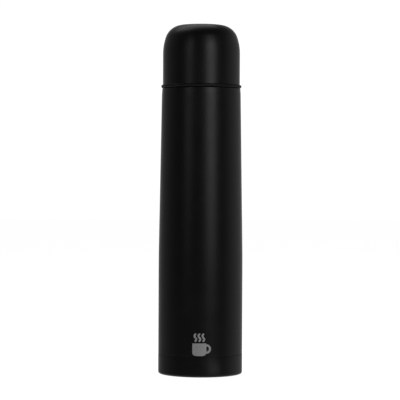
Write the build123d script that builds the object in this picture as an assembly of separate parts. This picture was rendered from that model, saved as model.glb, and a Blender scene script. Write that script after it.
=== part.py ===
from build123d import *
import os
from math import cos, pi, sin, tan, radians

# A one-litre class vacuum flask: double-walled steel bottle, screwed push-button stopper, screwed drinking cup.
# Own frame: the origin is the middle of the standing face, +Z runs up the axis, the front is -Y. Millimetres.

# ---- driving sizes ----
body_radius = 40.0
overall_height = 331.8
sheet = 0.5                     # thickness of the outer steel sheet
inner_sheet = 0.4               # thickness of the inner bottle and the cup's shell
vacuum_gap = 2.6

seam_z = 19.0                   # top edge of the base cap
seam_gap = 0.4
cap_radius = 40.05
cap_rounding = 2.2
recess_radius = 34.0            # raised middle of the underside
recess_depth = 2.0
tuck = 0.6                      # how far the shell necks in under the base cap

taper_start_z = 110.0           # where the straight wall would meet the cone
taper_blend = 2000.0
shoulder_z = 271.5              # flat shoulder that the cup comes down to
shoulder_radius = 37.15
shoulder_lead_in = 5.7          # height over which the wall curves in to the shoulder
cone_top_radius = 37.55

neck_radius = 32.7
neck_top_z = 286.6
lip_z = 293.0
lip_radius = 25.9

thread_lead = 8.0               # both screw joints share one two-start lead
thread_starts = 2
thread_depth = 1.2
thread_base = 1.7
thread_crest = 0.8
thread_gap = 0.4                # radial gap from a crest to the wall it runs along

bore_radius = 24.5              # mouth of the inner bottle
seat_z = 263.0                  # top of the ledge that the stopper's gasket closes on
seat_radius = 21.8
bottle_floor_z = 20.0

cup_radius = 36.65
cup_gap = 0.3                   # free height between the shoulder and the cup's rim
rim_height = 2.9
rim_radius = 38.15
rim_rounding = 1.1
cup_lean = 18.6                 # degrees turned by the cup's first, slow curve
cup_slow_curve = 49.0
cup_quick_curve = 16.8
crown_tilt = 1.1                # slope in degrees where the quick curve meets the crown

plug_foot_z = 256.0             # underside of the stopper's plug
cover_radius = 29.8
cover_z = 293.3                 # underside of the stopper's flange
cover_top_z = 306.0
pocket_z = 300.5                # floor of the button's pocket
flutes = 12
button_radius = 12.5
button_top_z = 310.5
button_travel = 4.0
slide_gap = 0.4                 # around and under the button

# ---- derived sizes ----
rim_z = shoulder_z + cup_gap
shell_foot_z = rim_z + rim_height
cone_top_z = shoulder_z - shoulder_lead_in
tucked_radius = body_radius - tuck
neck_thread_z = shoulder_z + 3.6
core_radius = bore_radius - thread_depth - thread_gap
plug_radius = seat_radius - 1.3
tube_top_z = cover_z - 4.8      # top of the tube inside the plug
rotor_z = tube_top_z + 0.1      # underside of the latch rotor
collar_z = rotor_z - 2.0        # underside of the rod's collar, where the spring pushes
cone_slope = (body_radius - cone_top_radius) / (cone_top_z - taper_start_z)
quick_centre_r = cup_radius - cup_slow_curve + (cup_slow_curve - cup_quick_curve) * cos(radians(cup_lean))
crown_curve = cup_quick_curve + quick_centre_r / sin(radians(crown_tilt))
quick_centre_z = overall_height - crown_curve + (crown_curve - cup_quick_curve) * cos(radians(crown_tilt))
cup_straight_z = quick_centre_z - (cup_slow_curve - cup_quick_curve) * sin(radians(cup_lean))


# ---- helpers ----
def outline(corners):
    """Closed face through corners (x, y, rounding): straight lines joined by tangent arcs."""
    count = len(corners)
    turns = []
    for i in range(count):
        here = Vector(*corners[i][:2])
        back = (Vector(*corners[i - 1][:2]) - here).normalized()
        ahead = (Vector(*corners[(i + 1) % count][:2]) - here).normalized()
        rounding = corners[i][2]
        if rounding == 0:
            turns.append((here, here, here, 0))
            continue
        half = radians(back.get_angle(ahead)) / 2
        cut = rounding / tan(half)
        middle = here + (back + ahead).normalized() * (rounding / sin(half) - rounding)
        turns.append((here + back * cut, middle, here + ahead * cut, rounding))
    edges = []
    for i, (start, middle, end, rounding) in enumerate(turns):
        following = turns[(i + 1) % count][0]
        if rounding > 0:
            edges.append(ThreePointArc(start, middle, end))
        if (following - end).length > 1e-4:
            edges.append(Line(end, following))
    return make_face(edges)


def turned(corners):
    """Solid of revolution about +Z from corners (radius, height, rounding)."""
    return revolve(Plane.XZ * outline(corners), axis=Axis.Z)


def ring(inside, outside, low, high):
    """Plain tube between two radii and two heights."""
    solid = Pos(0, 0, low) * Cylinder(outside, high - low, align=(Align.CENTER, Align.CENTER, Align.MIN))
    if inside > 0:
        solid -= Pos(0, 0, low) * Cylinder(inside, high - low, align=(Align.CENTER, Align.CENTER, Align.MIN))
    return solid


def thread(root, direction, low, turns, phase):
    """Ridges of a two-start thread. Direction is 1 for ridges that stand outward and -1 for inward ones."""
    sink = 0.15 * direction
    crest = root + thread_depth * direction
    ridges = []
    for start in range(thread_starts):
        path = Helix(pitch=thread_lead, height=thread_lead * turns, radius=root, center=(0, 0, low))
        section = Polyline(
            (root - sink, 0, low - thread_base / 2),
            (root, 0, low - thread_base / 2),
            (crest, 0, low - thread_crest / 2),
            (crest, 0, low + thread_crest / 2),
            (root, 0, low + thread_base / 2),
            (root - sink, 0, low + thread_base / 2),
            close=True,
        )
        ridge = sweep(make_face(section), path=path, is_frenet=True)
        ridges.append(Rot(0, 0, phase + 360 * start / thread_starts) * ridge)
    return ridges


def body_corners(inset, foot_z):
    """Outer wall of the bottle from the foot to the lip, inset by a sheet thickness, closed on the axis."""
    step_z = seam_z + seam_gap + inset * 1.5
    mouth_radius = bore_radius + inner_sheet + 0.55 - inset
    return [
        (0, foot_z, 0),
        (tucked_radius - inset, foot_z, 0),
        (tucked_radius - inset, step_z, 0),
        (body_radius - inset, step_z, 0.25),
        (body_radius - inset, taper_start_z, taper_blend),
        (cone_top_radius - inset, cone_top_z, 20.0),
        (shoulder_radius - inset, shoulder_z - inset, 0.5),
        (neck_radius - inset, shoulder_z - inset, 0.5),
        (neck_radius - inset, neck_top_z - inset, 2.0),
        (mouth_radius, neck_top_z + 2.5 - inset, 1.0),
        (mouth_radius, lip_z - 0.9, 0),
        (0, lip_z - 0.9, 0),
    ]


def dome_corners(inset):
    """The cup above its straight wall, inset from its outside: slow curve, quick curve, crown, axis."""
    lean = radians(cup_lean)
    tilt = radians(crown_tilt)
    radius = cup_radius - inset
    slow = cup_slow_curve - inset
    quick = cup_quick_curve - inset
    crown = crown_curve - inset
    top = overall_height - inset
    meet_r = radius - slow * (1 - cos(lean))
    meet_z = cup_straight_z + slow * sin(lean)
    reach = quick * tan((pi / 2 - lean - tilt) / 2)
    return [
        (radius, cup_straight_z + slow * tan(lean / 2), slow),
        (meet_r - reach * sin(lean), meet_z + reach * cos(lean), quick),
        (crown * tan(tilt / 2), top, crown * 0.9999),
        (0, top, 0),
    ]


def outer_wall_radius(z):
    """Outside radius of the bottle's cone at a height."""
    return body_radius - cone_slope * max(0.0, z - taper_start_z)


# ---- the bottle ----
def make_outer_shell():
    solid = turned(body_corners(0, 6.0)) - turned(body_corners(sheet, 5.0))
    solid -= ring(0, bore_radius + inner_sheet + 0.05, 280.0, lip_z)
    for ridge in thread(neck_radius, 1, neck_thread_z, 0.85, 0):
        solid += ridge
    return solid


def make_outer_bottom():
    radius = tucked_radius - sheet - 0.05
    return turned([
        (1.0, 7.6, 0), (6.0, 7.6, 0.4), (7.0, 6.1, 0.4), (radius, 6.1, 1.2),
        (radius, 13.0, 0), (radius - sheet, 13.0, 0), (radius - sheet, 6.6, 0.7),
        (7.4, 6.6, 0.4), (6.4, 8.1, 0.4), (1.0, 8.1, 0),
    ])


def make_vacuum_seal():
    return ring(0, 0.95, 7.5, 8.0) + turned([(0, 6.4, 0), (4.6, 6.4, 0.5), (4.6, 7.55, 0), (0, 7.55, 0)])


def make_base_cap():
    inside = tucked_radius + 0.05
    return turned([
        (0, recess_depth, 0), (recess_radius, recess_depth, 1.2), (recess_radius + 1.6, 0, 1.2),
        (cap_radius, 0, cap_rounding), (cap_radius, seam_z, 0.35), (inside, seam_z, 0),
        (inside, 0.9, 1.2), (recess_radius + 2.0, 0.9, 0.8), (recess_radius + 0.4, recess_depth + 0.7, 0.8),
        (0, recess_depth + 0.7, 0),
    ])


def bottle_corners(inset):
    """Inner bottle from its open foot to the lip; inset 0 is its outside, one sheet is its inside."""
    clear = sheet + vacuum_gap
    foot = body_radius - clear - inset
    top_z = 236.0
    top = outer_wall_radius(top_z) - clear - inset
    bore = bore_radius + inner_sheet - inset
    seat = seat_radius + inner_sheet - inset
    ledge_drop = (inner_sheet - inset) * 1.1
    return [
        (0, bottle_floor_z - 5.0, 0),
        (foot, bottle_floor_z - 5.0, 0),
        (foot, taper_start_z, 1800.0),
        (top, top_z, 16.0),
        (seat + 4.6, 251.0, 9.0),
        (seat, 256.5, 2.0),
        (seat, seat_z - 1.2 - ledge_drop, 0.8),
        (bore, seat_z - ledge_drop, 0.8),
        (bore, lip_z, 0),
        (0, lip_z, 0),
    ]


def make_inner_bottle():
    lip = turned([
        (lip_radius, lip_z - 0.85, 0.3),
        (lip_radius, lip_z, 0.4), (bore_radius, lip_z, 0.3), (bore_radius, lip_z - 0.85, 0),
    ])
    solid = turned(bottle_corners(0)) - turned(bottle_corners(inner_sheet)) - ring(0, bore_radius, 270.0, lip_z + 1)
    solid += lip
    for ridge in thread(bore_radius, -1, seat_z + 8.0, 1.1, 0):
        solid += ridge
    return solid


def make_inner_bottom():
    radius = body_radius - sheet - vacuum_gap - inner_sheet - 0.05
    foot = bottle_floor_z - 5.0
    return turned([
        (0, bottle_floor_z, 0), (14.0, bottle_floor_z, 30.0), (radius - 3.0, bottle_floor_z - 1.0, 6.0),
        (radius, bottle_floor_z - 1.0, 2.6), (radius, foot, 0), (radius - inner_sheet, foot, 0),
        (radius - inner_sheet, bottle_floor_z - 1.0 - inner_sheet, 2.2),
        (radius - 3.0, bottle_floor_z - 1.0 - inner_sheet, 6.0), (14.0, bottle_floor_z - inner_sheet, 30.0),
        (0, bottle_floor_z - inner_sheet, 0),
    ])


def make_radiation_foil():
    clear = sheet + vacuum_gap - 0.12
    thickness = 0.2
    foot = body_radius - clear
    top_z = 230.0
    top = outer_wall_radius(top_z) - clear
    return turned([
        (foot, 24.0, 0), (foot + thickness, 24.0, 0), (foot + thickness, taper_start_z, 1800.0),
        (top + thickness, top_z, 0), (top, top_z, 0), (foot, taper_start_z, 1800.0),
    ])


def make_getter_clip():
    cup = ring(0, 5.4, 6.6, 6.9) + ring(5.1, 5.4, 6.6, 9.2)
    tab = Pos(0, 6.6, 6.75) * Box(3.2, 5.0, 0.3)
    return Pos(20, 0, 0) * (cup + tab)


def make_getter_pill():
    return Pos(20, 0, 0) * turned([(0, 6.95, 0), (5.0, 6.95, 0.4), (5.0, 9.0, 0.4), (0, 9.0, 0)])


# ---- the stopper ----
def make_stopper_body():
    """Threaded plug: outer wall, bottom plate with the valve port, and the tube that the drink runs up."""
    foot = plug_foot_z
    rib = plug_radius + 0.8
    solid = turned([
        (8.5, foot, 0.5), (plug_radius, foot, 1.2), (plug_radius, seat_z - 1.9, 0), (rib, seat_z - 1.9, 0.3),
        (rib, seat_z - 0.25, 0), (plug_radius, seat_z - 0.25, 0), (plug_radius, seat_z + 2.05, 0),
        (core_radius, seat_z + 2.05, 0.4), (core_radius, cover_z, 0), (19.9, cover_z, 0),
        (19.9, seat_z + 4.5, 0.5), (17.9, seat_z + 3.0, 0.5), (17.9, foot + 2.5, 0.6), (12.0, foot + 2.5, 0.6),
        (12.0, tube_top_z, 0), (10.5, tube_top_z, 0), (10.5, foot + 2.0, 0.6), (8.5, foot + 2.0, 0),
    ])
    hub = ring(3.4, 5.6, foot + 3.5, foot + 6.0)
    for arm in range(3):
        hub += Rot(0, 0, 120 * arm) * Pos(7.9, 0, foot + 4.5) * Box(5.6, 1.4, 2.0)
    solid += hub
    for ridge in thread(core_radius, 1, seat_z + 6.0, 1.4, 0):
        solid += ridge
    return solid


def make_stopper_foam():
    return turned([
        (12.15, plug_foot_z + 2.7, 0), (17.7, plug_foot_z + 2.7, 0.6), (17.7, seat_z + 3.2, 0),
        (19.7, seat_z + 4.9, 0), (19.7, tube_top_z - 0.3, 0), (12.15, tube_top_z - 0.3, 0),
    ])


def make_stopper_gasket():
    """Lip gasket that rides with the plug; it stays clear of the neck's inner thread on the way out."""
    inside = plug_radius + 0.05
    outside = core_radius + 0.1
    return turned([
        (inside, seat_z - 0.15, 0), (plug_radius + 1.1, seat_z - 0.15, 0.3), (outside, seat_z + 0.25, 0.5),
        (outside, seat_z + 1.95, 0.5), (inside, seat_z + 1.95, 0),
    ])


def make_stopper_cover():
    """Flange with finger flutes, a button pocket on top, a pouring chamber below and a spout at the front."""
    foot = tube_top_z + 0.1
    pocket_radius = button_radius + slide_gap
    roof_z = pocket_z - 1.5
    solid = turned([
        (13.0, foot, 0), (19.8, foot, 0.4), (19.8, cover_z, 0), (cover_radius - 1.0, cover_z, 0.5),
        (cover_radius, cover_z + 1.2, 0.8), (cover_radius - 1.4, cover_top_z, 2.0),
        (button_radius + 2.4, cover_top_z, 0.6), (pocket_radius, cover_top_z - 0.8, 0.5),
        (pocket_radius, pocket_z, 0), (7.7, pocket_z, 0), (7.7, roof_z, 0), (13.0, roof_z, 0.8),
    ])
    flute = Pos(cover_radius + 3.2, 0, cover_z + 1.6) * Cylinder(
        5.0, 20, align=(Align.CENTER, Align.CENTER, Align.MIN))
    for i in range(flutes):
        angle = 360 / flutes * (i + 0.5)
        if abs(angle - 270) > 20:
            solid -= Rot(0, 0, angle) * flute
    channel = Pos(0, -22, cover_z + 3.2) * Box(13.0, 20.0, 3.6)
    solid -= fillet(channel.edges().filter_by(Axis.Y), 1.2)
    return solid


def make_guide_sleeve():
    """Fixed tube that the rod and the rotor run in, slotted for the rotor's fins."""
    solid = ring(6.1, 7.65, tube_top_z - 3.5, pocket_z + 3.4)
    solid += ring(7.6, 9.6, pocket_z + 0.05, pocket_z + 0.9)
    for slot in range(4):
        solid -= Rot(0, 0, 90 * slot) * Pos(6.1, 0, rotor_z + 2.3) * Box(1.7, 2.2, 13.0)
    return solid


# ---- the button and its valve ----
def make_push_button():
    """Dished button cap with a skirt that stops at the pocket's floor, and a stem that reaches the rotor."""
    top = button_top_z
    skirt_z = pocket_z + button_travel + slide_gap
    cap = turned([
        (0, top - 2.0, 0), (button_radius - 1.5, top - 2.0, 0.4), (button_radius - 1.5, skirt_z, 0),
        (button_radius, skirt_z, 0.2), (button_radius, top, 1.2), (9.0, top, 0.8), (8.2, top - 0.6, 0.8),
        (0, top - 0.6, 0),
    ])
    return cap + ring(3.3, 5.7, rotor_z + 5.4, top - 1.9)


def make_latch_rotor():
    """Ring with four fins; it turns one step at each press and holds the valve open or shut."""
    solid = ring(3.3, 5.5, rotor_z, rotor_z + 5.0)
    for fin in range(4):
        solid += Rot(0, 0, 90 * fin) * Pos(5.7, 0, rotor_z + 2.3) * Box(1.3, 1.3, 4.2)
    return solid


def make_valve_rod():
    """Rod from the button to the valve disc, with a snap head below the disc and a collar for the spring."""
    foot = plug_foot_z
    return turned([
        (0, foot - 5.4, 0), (1.4, foot - 5.4, 0.5), (2.1, foot - 4.6, 0.2), (2.1, foot - 4.0, 0),
        (1.6, foot - 4.0, 0), (1.6, foot - 0.8, 0), (3.0, foot - 0.8, 0), (3.0, collar_z, 0),
        (5.3, collar_z, 0.3), (5.3, collar_z + 1.8, 0), (3.0, collar_z + 1.8, 0),
        (3.0, pocket_z + 1.0, 0.4), (0, pocket_z + 1.0, 0),
    ])


def make_valve_disc():
    """Disc under the plug's port, with a groove for its seal."""
    foot = plug_foot_z
    return turned([
        (1.65, foot - 3.9, 0), (10.2, foot - 3.9, 0.8), (11.3, foot - 2.4, 0.4), (11.3, foot - 0.4, 0.3),
        (10.5, foot - 0.4, 0), (10.5, foot - 1.6, 0), (8.9, foot - 1.6, 0), (8.9, foot - 1.0, 0.3),
        (1.65, foot - 1.0, 0),
    ])


def make_valve_seal():
    low = plug_foot_z - 1.55
    high = plug_foot_z - 0.1
    return turned([(8.95, low, 0), (10.45, low, 0), (10.45, high, 0.4), (8.95, high, 0.4)])


def make_valve_spring():
    """Compression spring between the plug's spider and the rod's collar."""
    wire = 0.45
    mean = 4.5
    low = plug_foot_z + 6.1 + wire
    high = collar_z - 0.1 - wire
    path = Helix(pitch=(high - low) / 7, height=high - low, radius=mean, center=(0, 0, low))
    section = Plane(origin=path @ 0, z_dir=path % 0) * Circle(wire)
    coil = sweep(section, path=path, is_frenet=True)
    for z in (low, high):
        coil += Pos(0, 0, z) * Torus(mean, wire)
    return coil


# ---- the cup ----
def make_cup_shell():
    def solid(inset, foot):
        return turned([(0, foot, 0), (cup_radius - inset, foot, 0)] + dome_corners(inset))
    return solid(0, shell_foot_z) - solid(inner_sheet, shell_foot_z - 1)


def make_cup_liner():
    """Plastic liner: rim bead, threaded skirt and the drinking bowl, which follows the shell."""
    outer_inset = 3.0
    wall = 1.4
    inner_inset = outer_inset + wall
    skirt = neck_radius + thread_depth + thread_gap
    step = neck_top_z + 3.0
    fitted = cup_radius - inner_sheet - 0.05
    rim_top = shell_foot_z - 0.05
    outer = turned([
        (0, rim_z, 0), (rim_radius, rim_z, rim_rounding), (rim_radius, rim_top, rim_rounding),
        (fitted, rim_top, 0), (fitted, step, 0.6), (cup_radius - outer_inset, step + 1.5, 0.6),
    ] + dome_corners(outer_inset))
    inner = turned([
        (0, rim_z - 1, 0), (skirt, rim_z - 1, 0), (skirt, step - 2.2, 0.8),
        (cup_radius - inner_inset, step + 0.6, 0.8),
    ] + dome_corners(inner_inset))
    solid = outer - inner
    for ridge in thread(skirt, -1, neck_thread_z, 0.7, 90):
        solid += ridge
    return solid


def make_cup_insulation():
    """Foam cap sealed between the crowns of the shell and the liner."""
    def solid(inset):
        foot = cup_straight_z - inset
        return turned([(0, foot, 0), (cup_radius - inset, foot, 0)] + dome_corners(inset))
    return (solid(0.8) - solid(2.6)) & ring(0, 60, cup_straight_z + 14.0, overall_height)


def write_parts(parts):
    os.makedirs("parts", exist_ok=True)
    for node, shape in parts.items():
        shape.label = node
        export_step(shape, f"parts/{node}.step")
        print(node, len(shape.solids()), round(shape.volume / 1000, 3), "cm3")


write_parts({
    "outer_shell": make_outer_shell(),
    "outer_bottom": make_outer_bottom(),
    "vacuum_seal": make_vacuum_seal(),
    "base_cap": make_base_cap(),
    "inner_bottle": make_inner_bottle(),
    "inner_bottom": make_inner_bottom(),
    "radiation_foil": make_radiation_foil(),
    "getter_clip": make_getter_clip(),
    "getter_pill": make_getter_pill(),
    "stopper_body": make_stopper_body(),
    "stopper_foam": make_stopper_foam(),
    "stopper_gasket": make_stopper_gasket(),
    "stopper_cover": make_stopper_cover(),
    "guide_sleeve": make_guide_sleeve(),
    "push_button": make_push_button(),
    "latch_rotor": make_latch_rotor(),
    "valve_rod": make_valve_rod(),
    "valve_disc": make_valve_disc(),
    "valve_seal": make_valve_seal(),
    "valve_spring": make_valve_spring(),
    "cup_shell": make_cup_shell(),
    "cup_liner": make_cup_liner(),
    "cup_insulation": make_cup_insulation(),
})
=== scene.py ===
import math

import bmesh
import bpy
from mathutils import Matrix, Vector


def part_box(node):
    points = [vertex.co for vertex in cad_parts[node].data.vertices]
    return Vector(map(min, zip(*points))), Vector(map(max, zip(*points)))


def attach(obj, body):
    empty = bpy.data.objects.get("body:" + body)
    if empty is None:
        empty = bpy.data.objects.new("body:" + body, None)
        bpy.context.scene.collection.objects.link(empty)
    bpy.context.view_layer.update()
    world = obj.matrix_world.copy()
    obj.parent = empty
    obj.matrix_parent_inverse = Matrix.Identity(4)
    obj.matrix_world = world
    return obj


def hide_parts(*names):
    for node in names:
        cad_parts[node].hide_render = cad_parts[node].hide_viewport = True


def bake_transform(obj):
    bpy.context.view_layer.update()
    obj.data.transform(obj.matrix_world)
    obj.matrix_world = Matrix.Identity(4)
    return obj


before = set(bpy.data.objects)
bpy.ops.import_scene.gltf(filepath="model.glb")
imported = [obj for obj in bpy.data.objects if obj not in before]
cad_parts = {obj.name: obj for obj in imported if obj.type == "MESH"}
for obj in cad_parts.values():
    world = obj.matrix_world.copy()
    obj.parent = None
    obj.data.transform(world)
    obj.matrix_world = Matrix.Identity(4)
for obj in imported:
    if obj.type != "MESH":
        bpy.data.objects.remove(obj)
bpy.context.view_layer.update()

# A vacuum flask in black powder coat, turned about +Z; its front is -Y.
# Sizes of the flask are in millimetres and become metres when a mesh is made. The studio is in metres.

MM = 0.001


# ---------------------------------------------------------------- sizes
def height_range(node):
    """Lowest and highest point of a CAD node."""
    low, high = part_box(node)
    return low[2] / MM, high[2] / MM


def outside_radius(node):
    """Largest radius of a turned CAD node."""
    low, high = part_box(node)
    return (high[0] - low[0]) / 2 / MM


BODY_R = outside_radius("outer_shell")
CAP_R = outside_radius("base_cap")
CUP_R = outside_radius("cup_shell")
RIM_R = outside_radius("cup_liner")
SEAM_Z = height_range("base_cap")[1]
BOTTLE_FOOT_Z, LIP_Z = height_range("inner_bottle")
RIM_Z = height_range("cup_liner")[0]
CUP_FOOT_Z, TOP_Z = height_range("cup_shell")

SHEET = 0.5                      # outer steel wall
THIN_SHEET = 0.4                 # inner bottle and skin of the cup
VACUUM_GAP = 2.6
WALL_FOOT_Z = 6.0
TUCK = 0.6                       # how far the wall necks in under the base cap
SEAM_GAP = 0.4
CAP_BORE_R = BODY_R - 0.55      # inside the base cap
TAPER_Z = 110.0                  # where the straight wall would meet the cone
CUP_GAP = 0.3                    # between the shoulder and the rim of the cup
SHOULDER_Z = RIM_Z - CUP_GAP
SHOULDER_R = 37.15
CONE_TOP_Z = SHOULDER_Z - 5.7
CONE_TOP_R = 37.55
NECK_R = 32.7
NECK_TOP_Z = 286.6
NECK_THREAD_Z = SHOULDER_Z + 3.6
BORE_R = 24.5
SEAT_R = 21.8                    # inside the ledge that the stopper's gasket closes on
SEAT_Z = 263.0
LIP_R = 25.9
LEAD = 8.0                       # of every two-start thread
THREAD_DEPTH = 1.2
THREAD_BASE = 1.7
THREAD_CREST = 0.8

RINGS = 256                      # flats round a turned piece
SHARP_EDGE = math.radians(32)


# ---------------------------------------------------------------- mesh helpers
def path_from(corners, step_degrees=5.0):
    """Points along straight lines and tangent arcs through corners (x, y, rounding)."""
    points = []
    last = len(corners) - 1
    for i, (x, y, rounding) in enumerate(corners):
        here = Vector((x, y))
        if rounding == 0 or i in (0, last):
            points.append(here)
            continue
        back = (Vector(corners[i - 1][:2]) - here).normalized()
        ahead = (Vector(corners[i + 1][:2]) - here).normalized()
        half = back.angle(ahead) / 2
        centre = here + (back + ahead).normalized() * (rounding / math.sin(half))
        first = here + back * (rounding / math.tan(half)) - centre
        final = here + ahead * (rounding / math.tan(half)) - centre
        turn = first.angle_signed(final)
        steps = max(6, math.ceil(abs(math.degrees(turn)) / step_degrees))
        for k in range(steps + 1):
            c = math.cos(-turn * k / steps)
            s = math.sin(-turn * k / steps)
            points.append(centre + Vector((first.x * c - first.y * s, first.x * s + first.y * c)))
    return points


def new_object(name, vertices, faces, material):
    """Mesh object from points in millimetres, shaded smooth except at sharp edges."""
    mesh = bpy.data.meshes.new(name)
    mesh.from_pydata([[c * MM for c in v] for v in vertices], [], faces)
    mesh.validate()
    mesh.shade_smooth()
    mesh.set_sharp_from_angle(angle=SHARP_EDGE)
    mesh.materials.append(material)
    obj = bpy.data.objects.new(name, mesh)
    bpy.context.scene.collection.objects.link(obj)
    return obj


def face_outward(obj):
    """Makes the normals point out of the solid."""
    work = bmesh.new()
    work.from_mesh(obj.data)
    bmesh.ops.recalc_face_normals(work, faces=work.faces)
    work.to_mesh(obj.data)
    work.free()
    obj.data.shade_smooth()
    obj.data.set_sharp_from_angle(angle=SHARP_EDGE)


def lathe(name, corners, material, closed=True):
    """Turns corners (radius, height, rounding) about +Z. A closed profile joins its last point to its first,
    and an open one starts and ends on the axis."""
    points = path_from(corners)
    vertices = []
    starts = []
    for p in points:
        starts.append(len(vertices))
        if p.x < 1e-6:
            vertices.append((0, 0, p.y))
            continue
        for k in range(RINGS):
            angle = 2 * math.pi * k / RINGS
            vertices.append((p.x * math.cos(angle), p.x * math.sin(angle), p.y))
    faces = []
    count = len(points)
    for i in range(count if closed else count - 1):
        j = (i + 1) % count
        a, b = starts[i], starts[j]
        a_on_axis, b_on_axis = points[i].x < 1e-6, points[j].x < 1e-6
        if a_on_axis and b_on_axis:
            continue
        for k in range(RINGS):
            m = (k + 1) % RINGS
            if a_on_axis:
                faces.append((a, b + k, b + m))
            elif b_on_axis:
                faces.append((a + k, b, a + m))
            else:
                faces.append((a + k, b + k, b + m, a + m))
    obj = new_object(name, vertices, faces, material)
    face_outward(obj)
    return obj


def thread_ridge(name, root, direction, low, turns, phase_degrees, material):
    """One rounded thread ridge that fades out at both ends. Direction is 1 outward, -1 inward."""
    steps = int(96 * turns)
    foot, flank, shoulder = THREAD_BASE / 2 + 0.35, THREAD_BASE / 2, THREAD_CREST / 2 + 0.1
    shape = [(-foot, -0.12), (-flank, 0.1), (-shoulder, 0.88), (-THREAD_CREST / 4, 1.0),
             (THREAD_CREST / 4, 1.0), (shoulder, 0.88), (flank, 0.1), (foot, -0.12)]
    vertices = []
    for i in range(steps + 1):
        turn = turns * i / steps
        fade = min(1.0, turn / 0.09, (turns - turn) / 0.09)
        rise = math.sin(fade * math.pi / 2)
        angle = 2 * math.pi * turn + math.radians(phase_degrees)
        z = low + LEAD * turn
        for along, out in shape:
            r = root + direction * THREAD_DEPTH * (out * rise - 0.05)
            vertices.append((r * math.cos(angle), r * math.sin(angle), z + along * (0.4 + 0.6 * rise)))
    n = len(shape)
    faces = [(i * n + k, i * n + k + 1, (i + 1) * n + k + 1, (i + 1) * n + k)
             for i in range(steps) for k in range(n - 1)]
    faces.append(tuple(range(n)))
    faces.append(tuple(steps * n + k for k in range(n)))
    obj = new_object(name, vertices, faces, material)
    face_outward(obj)
    return obj


def two_start_thread(name, body, root, direction, low, turns, phase_degrees, material):
    """Both ridges of a thread, riding a body."""
    for start in range(2):
        phase = phase_degrees + 180 * start
        ridge = thread_ridge(f"{name}_{start + 1}", root, direction, low, turns, phase, material)
        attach(ridge, body)


def stand_for(obj, node, body):
    """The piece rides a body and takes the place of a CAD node."""
    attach(obj, body)
    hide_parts(node)


# ---------------------------------------------------------------- materials
def new_material(name):
    material = bpy.data.materials.new(name)
    material.use_nodes = True
    nodes = material.node_tree.nodes
    return material, nodes, material.node_tree.links, nodes["Principled BSDF"]


def noise(nodes, links, scale, detail=2.0, stretch=(1, 1, 1)):
    """Object-space noise; scale is in cells per metre."""
    where = nodes.new("ShaderNodeTexCoord")
    mapping = nodes.new("ShaderNodeMapping")
    mapping.inputs["Scale"].default_value = stretch
    links.new(where.outputs["Object"], mapping.inputs["Vector"])
    texture = nodes.new("ShaderNodeTexNoise")
    texture.inputs["Scale"].default_value = scale
    texture.inputs["Detail"].default_value = detail
    links.new(mapping.outputs["Vector"], texture.inputs["Vector"])
    return texture.outputs["Fac"]


def ramp(nodes, links, source, low, high, start=0.0, end=1.0):
    """Goes from low to high while the source goes from start to end."""
    node = nodes.new("ShaderNodeMapRange")
    node.inputs["From Min"].default_value = start
    node.inputs["From Max"].default_value = end
    node.inputs["To Min"].default_value = low
    node.inputs["To Max"].default_value = high
    links.new(source, node.inputs["Value"])
    return node.outputs["Result"]


def bump(nodes, links, shader, source, depth, strength):
    """Surface relief; depth is in millimetres."""
    node = nodes.new("ShaderNodeBump")
    node.inputs["Strength"].default_value = strength
    node.inputs["Distance"].default_value = depth * MM
    links.new(source, node.inputs["Height"])
    links.new(node.outputs["Normal"], shader.inputs["Normal"])


def tint(nodes, links, shader, source, dark, light):
    """Base colour that varies between two colours."""
    mix = nodes.new("ShaderNodeMix")
    mix.data_type = "RGBA"
    mix.inputs["A"].default_value = (*dark, 1)
    mix.inputs["B"].default_value = (*light, 1)
    links.new(source, mix.inputs["Factor"])
    links.new(mix.outputs["Result"], shader.inputs["Base Color"])


def coat_material():
    """Black satin powder coat: fine orange peel and a slightly uneven sheen."""
    material, nodes, links, shader = new_material("powder_coat")
    shader.inputs["IOR"].default_value = 1.5
    fine = noise(nodes, links, 1400, 3)
    speckle = ramp(nodes, links, fine, 0, 1, 0.3, 0.7)
    tint(nodes, links, shader, speckle, (0.0045, 0.0045, 0.0047), (0.0080, 0.0080, 0.0083))
    broad = noise(nodes, links, 60, 2)
    links.new(ramp(nodes, links, broad, 0.335, 0.375, 0.3, 0.7), shader.inputs["Roughness"])
    bump(nodes, links, shader, fine, 0.012, 0.6)
    return material


def steel_material(name, colour, rough, stretch, scale=900):
    """Brushed or spun stainless steel; stretch sets which way the fine lines run."""
    material, nodes, links, shader = new_material(name)
    shader.inputs["Metallic"].default_value = 1.0
    lines = noise(nodes, links, scale, 3, stretch)
    tint(nodes, links, shader, lines, tuple(c * 0.85 for c in colour), colour)
    links.new(ramp(nodes, links, lines, rough - 0.06, rough + 0.08, 0.3, 0.7), shader.inputs["Roughness"])
    bump(nodes, links, shader, lines, 0.01, 0.35)
    return material


def plastic_material(name, dark, light, rough, grain=1100, depth=0.015, ior=1.49):
    """Moulded or foamed plastic with a fine grain."""
    material, nodes, links, shader = new_material(name)
    shader.inputs["IOR"].default_value = ior
    fine = noise(nodes, links, grain, 2)
    tint(nodes, links, shader, fine, dark, light)
    broad = noise(nodes, links, 90, 2)
    links.new(ramp(nodes, links, broad, rough - 0.04, rough + 0.04, 0.3, 0.7), shader.inputs["Roughness"])
    bump(nodes, links, shader, fine, depth, 0.7)
    return material


def etched_material():
    """Bare steel where the coat was burnt off: pale, matt and grainy."""
    material, nodes, links, shader = new_material("etched_steel")
    shader.inputs["Metallic"].default_value = 0.35
    shader.inputs["Roughness"].default_value = 0.55
    grain = noise(nodes, links, 1700, 3)
    speckle = ramp(nodes, links, grain, 0, 1, 0.35, 0.65)
    tint(nodes, links, shader, speckle, (0.52, 0.52, 0.52), (0.86, 0.86, 0.86))
    bump(nodes, links, shader, grain, 0.02, 0.5)
    return material


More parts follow.
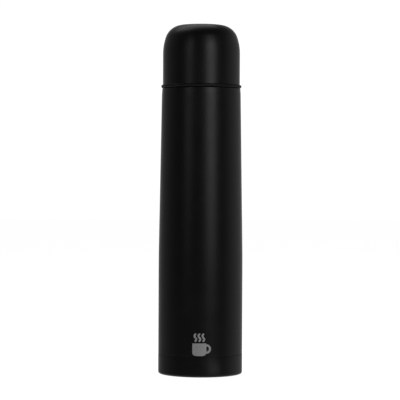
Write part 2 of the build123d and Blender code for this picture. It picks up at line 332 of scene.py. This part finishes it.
def silicone_material():
    """Cloudy grey silicone."""
    material, nodes, links, shader = new_material("silicone")
    shader.inputs["IOR"].default_value = 1.41
    shader.inputs["Transmission Weight"].default_value = 0.25
    cloud = noise(nodes, links, 260, 3)
    tint(nodes, links, shader, cloud, (0.50, 0.50, 0.48), (0.66, 0.66, 0.63))
    links.new(ramp(nodes, links, cloud, 0.42, 0.55, 0.3, 0.7), shader.inputs["Roughness"])
    return material


coat = coat_material()
steel = steel_material("spun_steel", (0.62, 0.61, 0.59), 0.27, (1, 1, 26))
mirror_steel = steel_material("polished_steel", (0.66, 0.65, 0.63), 0.16, (1, 1, 18), 500)
spring_steel = steel_material("spring_wire", (0.5, 0.5, 0.49), 0.25, (1, 1, 1), 2500)
foil = steel_material("foil", (0.85, 0.85, 0.86), 0.2, (1, 1, 1), 300)
etched = etched_material()
black = plastic_material("black_plastic", (0.010, 0.010, 0.011), (0.016, 0.016, 0.017), 0.46)
rim_plastic = plastic_material("rim_plastic", (0.006, 0.006, 0.0063), (0.009, 0.009, 0.0094), 0.5, ior=1.38)
acetal = plastic_material("acetal", (0.70, 0.70, 0.67), (0.78, 0.78, 0.75), 0.34, 500, 0.004)
foam = plastic_material("foam", (0.62, 0.58, 0.46), (0.82, 0.78, 0.66), 0.9, 2200, 0.12)
pellet = plastic_material("getter_pellet", (0.05, 0.05, 0.05), (0.12, 0.12, 0.12), 0.8, 3500, 0.06)
solder = plastic_material("solder_glass", (0.16, 0.18, 0.17), (0.26, 0.28, 0.26), 0.22, 700, 0.02)
silicone = silicone_material()


# ---------------------------------------------------------------- the bottle
def wall_corners(inset):
    """The bottle's wall from its foot to under the lip, inset by a sheet thickness."""
    body, cone_top, shoulder, neck = (r - inset for r in (BODY_R, CONE_TOP_R, SHOULDER_R, NECK_R))
    mouth = BORE_R + THIN_SHEET + 0.55 - inset
    tuck_z = SEAM_Z + SEAM_GAP + inset * 1.5
    return [
        (body - TUCK, WALL_FOOT_Z, 0), (body - TUCK, tuck_z, 0), (body, tuck_z, 0.25),
        (body, TAPER_Z, 2000.0), (cone_top, CONE_TOP_Z, 20.0), (shoulder, SHOULDER_Z - inset, 0.7),
        (neck, SHOULDER_Z - inset, 0.5), (neck, NECK_TOP_Z - inset, 2.0),
        (mouth, NECK_TOP_Z + 2.5 - inset, 1.0), (mouth, LIP_Z - 0.9, 0),
    ]


def bottle_corners(inset):
    """Inner bottle from its foot to its bore; inset 0 is the vacuum side."""
    clear = SHEET + VACUUM_GAP + inset
    slope = (BODY_R - CONE_TOP_R) / (CONE_TOP_Z - TAPER_Z)
    top_z = 236.0
    seat, bore = SEAT_R + THIN_SHEET - inset, BORE_R + THIN_SHEET - inset
    drop = (THIN_SHEET - inset) * 1.1
    return [
        (BODY_R - clear, BOTTLE_FOOT_Z, 0), (BODY_R - clear, TAPER_Z, 1800.0),
        (BODY_R - slope * (top_z - TAPER_Z) - clear, top_z, 16.0), (seat + 4.6, 251.0, 9.0),
        (seat, 256.5, 2.0), (seat, SEAT_Z - 1.2 - drop, 0.8), (bore, SEAT_Z - drop, 0.8),
    ]


wall = lathe("bottle_wall", wall_corners(0) + wall_corners(SHEET)[::-1], coat)
wall.data.materials.append(steel)
for face in wall.data.polygons:          # the neck is bare steel
    if math.hypot(*face.center[:2]) < (NECK_R + 1.9) * MM and face.center.z > (SHOULDER_Z - 1.5) * MM:
        face.material_index = 1
stand_for(wall, "outer_shell", "flask")

base = lathe("base_cover", [
    (0, 2.0, 0), (34.0, 2.0, 1.2), (35.6, 0, 1.2), (CAP_R, 0, 2.2), (CAP_R, SEAM_Z, 0.35),
    (CAP_BORE_R, SEAM_Z, 0), (CAP_BORE_R, 0.9, 1.2), (36.0, 0.9, 0.8), (34.4, 2.7, 0.8), (0, 2.7, 0),
], coat, closed=False)
stand_for(base, "base_cap", "flask")
two_start_thread("neck_thread", "flask", NECK_R, 1, NECK_THREAD_Z, 0.85, 0, steel)

inside = lathe("bottle_inside", bottle_corners(0) + [
    (BORE_R + THIN_SHEET, LIP_Z - 0.85, 0), (LIP_R, LIP_Z - 0.85, 0.3),
    (LIP_R, LIP_Z, 0.4), (BORE_R, LIP_Z, 0.3),
] + bottle_corners(THIN_SHEET)[::-1], mirror_steel)
stand_for(inside, "inner_bottle", "flask")
two_start_thread("mouth_thread", "flask", BORE_R, -1, SEAT_Z + 8.0, 1.1, 0, mirror_steel)

# ---------------------------------------------------------------- the etched mark: a steaming mug
MARK_Z = SEAM_Z + 1.3            # foot of the mug
MARK_SHIFT = 0.8                 # to the right, so that mug and handle are centred together
MUG_MIDDLE = -1.6
MUG_HALF_WIDTH = 6.6
MUG_HEIGHT = 11.8
MUG_ROUNDING = 3.4
HANDLE_X, HANDLE_Y, HANDLE_R = 4.9, 6.6, 3.5
STEAM_SPACING, STEAM_FOOT, STEAM_HEIGHT = 3.7, 14.0, 6.4


def wrapped(u, v):
    """A point u across and v up the mark, laid on the bottle's front."""
    r = BODY_R + 0.02
    angle = (u + MARK_SHIFT) / r
    return r * math.sin(angle), -r * math.cos(angle), MARK_Z + v


def stroke(points, half_width, vertices, faces):
    """A line of even width with round ends."""
    steps = 6
    points = [Vector(p) for p in points]
    head = (points[0] - points[1]).normalized()
    tail = (points[-1] - points[-2]).normalized()
    quarter = [math.pi / 2 * k / steps for k in range(steps)]
    line = [(points[0] + head * half_width * math.cos(t), half_width * math.sin(t)) for t in quarter]
    line += [(p, half_width) for p in points]
    line += [(points[-1] + tail * half_width * math.cos(t), half_width * math.sin(t)) for t in quarter[::-1]]
    first = len(vertices)
    for i, (p, w) in enumerate(line):
        t = (line[min(i + 1, len(line) - 1)][0] - line[max(i - 1, 0)][0]).normalized()
        side = Vector((-t.y, t.x)) * w
        vertices += [wrapped(*(p - side)), wrapped(*p), wrapped(*(p + side))]
    for i in range(len(line) - 1):
        a = first + 3 * i
        faces += [(a, a + 1, a + 4, a + 3), (a + 1, a + 2, a + 5, a + 4)]


def make_mark():
    """Mug with rounded lower corners, a bent handle and three waves of steam."""
    rows, columns = 24, 8
    vertices, faces = [], []
    for i in range(rows + 1):
        v = MUG_HEIGHT * i / rows
        below = max(0.0, MUG_ROUNDING - v)
        half = MUG_HALF_WIDTH - MUG_ROUNDING + math.sqrt(MUG_ROUNDING ** 2 - below ** 2)
        vertices += [wrapped(MUG_MIDDLE + half * (2 * k / columns - 1), v) for k in range(columns + 1)]
    row = columns + 1
    for i in range(rows):
        for k in range(columns):
            a = row * i + k
            faces.append((a, a + 1, a + 1 + row, a + row))
    handle = [math.radians(d) for d in range(-78, 79, 6)]
    bend = [(HANDLE_X + HANDLE_R * math.cos(a), HANDLE_Y + HANDLE_R * math.sin(a)) for a in handle]
    stroke(bend, 0.95, vertices, faces)
    for middle in (MUG_MIDDLE - STEAM_SPACING, MUG_MIDDLE, MUG_MIDDLE + STEAM_SPACING):
        parts = [k / 24 for k in range(25)]
        wave = [(middle + 0.85 * math.sin(2 * math.pi * p), STEAM_FOOT + STEAM_HEIGHT * p) for p in parts]
        stroke(wave, 0.9, vertices, faces)
    return new_object("etched_mark", vertices, faces, etched)


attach(make_mark(), "flask")

# ---------------------------------------------------------------- the cup
LEAN = math.radians(18.6)        # turned by the cup's slow curve
TILT = math.radians(1.1)         # slope where the quick curve meets the crown
SLOW, QUICK = 49.0, 16.8
CROWN = QUICK + (CUP_R - SLOW + (SLOW - QUICK) * math.cos(LEAN)) / math.sin(TILT)
STRAIGHT_Z = TOP_Z - CROWN + (CROWN - QUICK) * math.cos(TILT) - (SLOW - QUICK) * math.sin(LEAN)
LINING_INSET, LINING_WALL = 3.0, 1.4
SKIRT_R = NECK_R + 1.6
STEP_Z = NECK_TOP_Z + 3.0        # where the lining steps in above its thread
FITTED_R = CUP_R - THIN_SHEET - 0.05


def dome_corners(inset):
    """The cup above its straight wall: a slow curve, a quick one and the low crown."""
    slow, quick, crown, r = SLOW - inset, QUICK - inset, CROWN - inset, CUP_R - inset
    reach = quick * math.tan((math.pi / 2 - LEAN - TILT) / 2)
    meet_r, meet_z = r - slow * (1 - math.cos(LEAN)), STRAIGHT_Z + slow * math.sin(LEAN)
    return [
        (r, STRAIGHT_Z + slow * math.tan(LEAN / 2), slow),
        (meet_r - reach * math.sin(LEAN), meet_z + reach * math.cos(LEAN), quick),
        (crown * math.tan(TILT / 2), TOP_Z - inset, crown * 0.9999), (0, TOP_Z - inset, 0),
    ]


skin = lathe("cup_skin", [(CUP_R, CUP_FOOT_Z, 0)] + dome_corners(0)
             + dome_corners(THIN_SHEET)[::-1] + [(CUP_R - THIN_SHEET, CUP_FOOT_Z, 0)], coat)
stand_for(skin, "cup_shell", "cup")

bead_top = CUP_FOOT_Z - 0.05
inner_inset = LINING_INSET + LINING_WALL
lining = lathe("cup_lining", [
    (SKIRT_R, RIM_Z, 0), (RIM_R - 1.3, RIM_Z, 0.5), (RIM_R, RIM_Z + 0.35, 0.9), (RIM_R, bead_top, 1.0),
    (FITTED_R, bead_top, 0), (FITTED_R, STEP_Z, 0.6), (CUP_R - LINING_INSET, STEP_Z + 1.5, 0.6),
] + dome_corners(LINING_INSET) + dome_corners(inner_inset)[::-1] + [
    (CUP_R - inner_inset, STEP_Z + 0.6, 0.8), (SKIRT_R, STEP_Z - 2.2, 0.8),
], rim_plastic)
stand_for(lining, "cup_liner", "cup")
two_start_thread("cup_thread", "cup", SKIRT_R, -1, NECK_THREAD_Z, 0.7, 90, black)

# ---------------------------------------------------------------- finishes of the CAD nodes
FINISH = {
    "inner_bottom": mirror_steel, "outer_bottom": steel, "vacuum_seal": solder,
    "radiation_foil": foil, "getter_clip": steel, "getter_pill": pellet, "stopper_body": black,
    "stopper_foam": foam, "stopper_gasket": silicone, "stopper_cover": black, "guide_sleeve": acetal,
    "push_button": black, "latch_rotor": acetal, "valve_rod": acetal, "valve_disc": black,
    "valve_seal": silicone, "cup_insulation": foam,
}
for node, material in FINISH.items():
    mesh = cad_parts[node].data
    mesh.materials.clear()
    mesh.materials.append(material)


# ---------------------------------------------------------------- the valve's spring
def make_coil():
    """A copy of the valve spring in spring wire, put in the CAD node's place."""
    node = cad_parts["valve_spring"]
    coil = bpy.data.objects.new("valve_coil", node.data.copy())
    coil.matrix_world = node.matrix_world
    coil.data.materials.clear()
    coil.data.materials.append(spring_steel)
    bpy.context.scene.collection.objects.link(coil)
    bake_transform(coil)
    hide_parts("valve_spring")


make_coil()

# ---------------------------------------------------------------- studio
def area_light(name, azimuth, distance, z, width, height, power, tilt=0.0):
    """Rectangular light, azimuth degrees right of the front. It faces the axis, tilt above its own height."""
    data = bpy.data.lights.new(name, "AREA")
    data.shape = "RECTANGLE"
    data.size, data.size_y, data.energy = width, height, power
    light = bpy.data.objects.new(name, data)
    a = math.radians(azimuth)
    light.location = (distance * math.sin(a), -distance * math.cos(a), z)
    aim = Vector((0, 0, z + tilt)) - light.location
    light.rotation_euler = aim.to_track_quat("-Z", "Y").to_euler()
    light.visible_camera = False
    bpy.context.scene.collection.objects.link(light)


def lay_floor():
    """Pale paper floor that reflections and bounced light pass by."""
    size = 6
    mesh = bpy.data.meshes.new("floor")
    corners = [(-size, -size, 0), (size, -size, 0), (size, size, 0), (-size, size, 0)]
    mesh.from_pydata(corners, [], [(0, 1, 2, 3)])
    paper, _, _, shader = new_material("floor_paper")
    shader.inputs["Base Color"].default_value = (0.8, 0.8, 0.8, 1)
    shader.inputs["Roughness"].default_value = 0.9
    shader.inputs["Specular IOR Level"].default_value = 0.0
    shader.inputs["Emission Color"].default_value = (1, 1, 1, 1)
    shader.inputs["Emission Strength"].default_value = 0.93
    mesh.materials.append(paper)
    floor = bpy.data.objects.new("floor", mesh)
    floor.visible_glossy = False
    floor.visible_diffuse = False
    bpy.context.scene.collection.objects.link(floor)


def build_world():
    """White to the camera. Reflections see a dark room in front that is paler at the right and behind,
    a dim ceiling and a pale ground."""
    world = bpy.data.worlds.new("studio")
    bpy.context.scene.world = world
    world.use_nodes = True
    nodes, links = world.node_tree.nodes, world.node_tree.links
    nodes.clear()

    def combine(operation, first, second, third=None):
        """A math node on sockets or numbers."""
        node = nodes.new("ShaderNodeMath")
        node.operation = operation
        for socket, value in zip(node.inputs, (first, second, third)):
            if isinstance(value, (int, float)):
                socket.default_value = value
            elif value is not None:
                links.new(value, socket)
        return node.outputs["Value"]

    coords = nodes.new("ShaderNodeTexCoord")
    split = nodes.new("ShaderNodeSeparateXYZ")
    links.new(coords.outputs["Generated"], split.inputs["Vector"])
    x, y, z = split.outputs
    walls = ramp(nodes, links, y, 0.026, 0.21, -0.45, 0.75)
    right = ramp(nodes, links, combine("MULTIPLY_ADD", y, 0.35, x), 0.0, 0.13, 0.78, 1.0)
    ceiling = ramp(nodes, links, z, 1.0, 0.35, 0.3, 0.85)
    ground = ramp(nodes, links, z, 0.45, 0.0, -0.6, -0.22)
    backdrop = ramp(nodes, links, y, 0.0, 0.45, 0.8, 1.0)
    room_light = combine("MULTIPLY_ADD", combine("ADD", walls, right), ceiling, ground)

    room = nodes.new("ShaderNodeBackground")
    links.new(combine("ADD", room_light, backdrop), room.inputs["Color"])
    seen = nodes.new("ShaderNodeBackground")
    seen.inputs["Color"].default_value = (1, 1, 1, 1)
    seen.inputs["Strength"].default_value = 1.05
    rays = nodes.new("ShaderNodeLightPath")
    switch = nodes.new("ShaderNodeMixShader")
    links.new(rays.outputs["Is Camera Ray"], switch.inputs["Fac"])
    links.new(room.outputs["Background"], switch.inputs[1])
    links.new(seen.outputs["Background"], switch.inputs[2])
    output = nodes.new("ShaderNodeOutputWorld")
    links.new(switch.outputs["Shader"], output.inputs["Surface"])


def place_camera():
    """Long lens a little above the flask's middle, tipped down by under a degree."""
    data = bpy.data.cameras.new("camera")
    data.sensor_width = 36
    data.lens = 155.7
    data.dof.use_dof = False
    camera = bpy.data.objects.new("camera", data)
    camera.location = (-0.0009, -1.65, 0.187)
    camera.rotation_euler = (math.radians(90 - 0.755), math.radians(-0.263), 0)
    bpy.context.scene.collection.objects.link(camera)
    bpy.context.scene.camera = camera
    bpy.context.scene.view_settings.view_transform = "Standard"


lay_floor()
area_light("strip_right", 28.5, 1.4, 0.665, 0.56, 1.0, 2.95)
area_light("strip_left", -35.5, 1.4, 0.69, 0.36, 0.86, 0.78)
area_light("overhead", -152, 0.62, 1.5, 1.4, 0.95, 3.6, tilt=-1.15)
area_light("floor_glow", 28.5, 0.075, 0.004, 0.03, 0.006, 0.0005)
build_world()
place_camera()
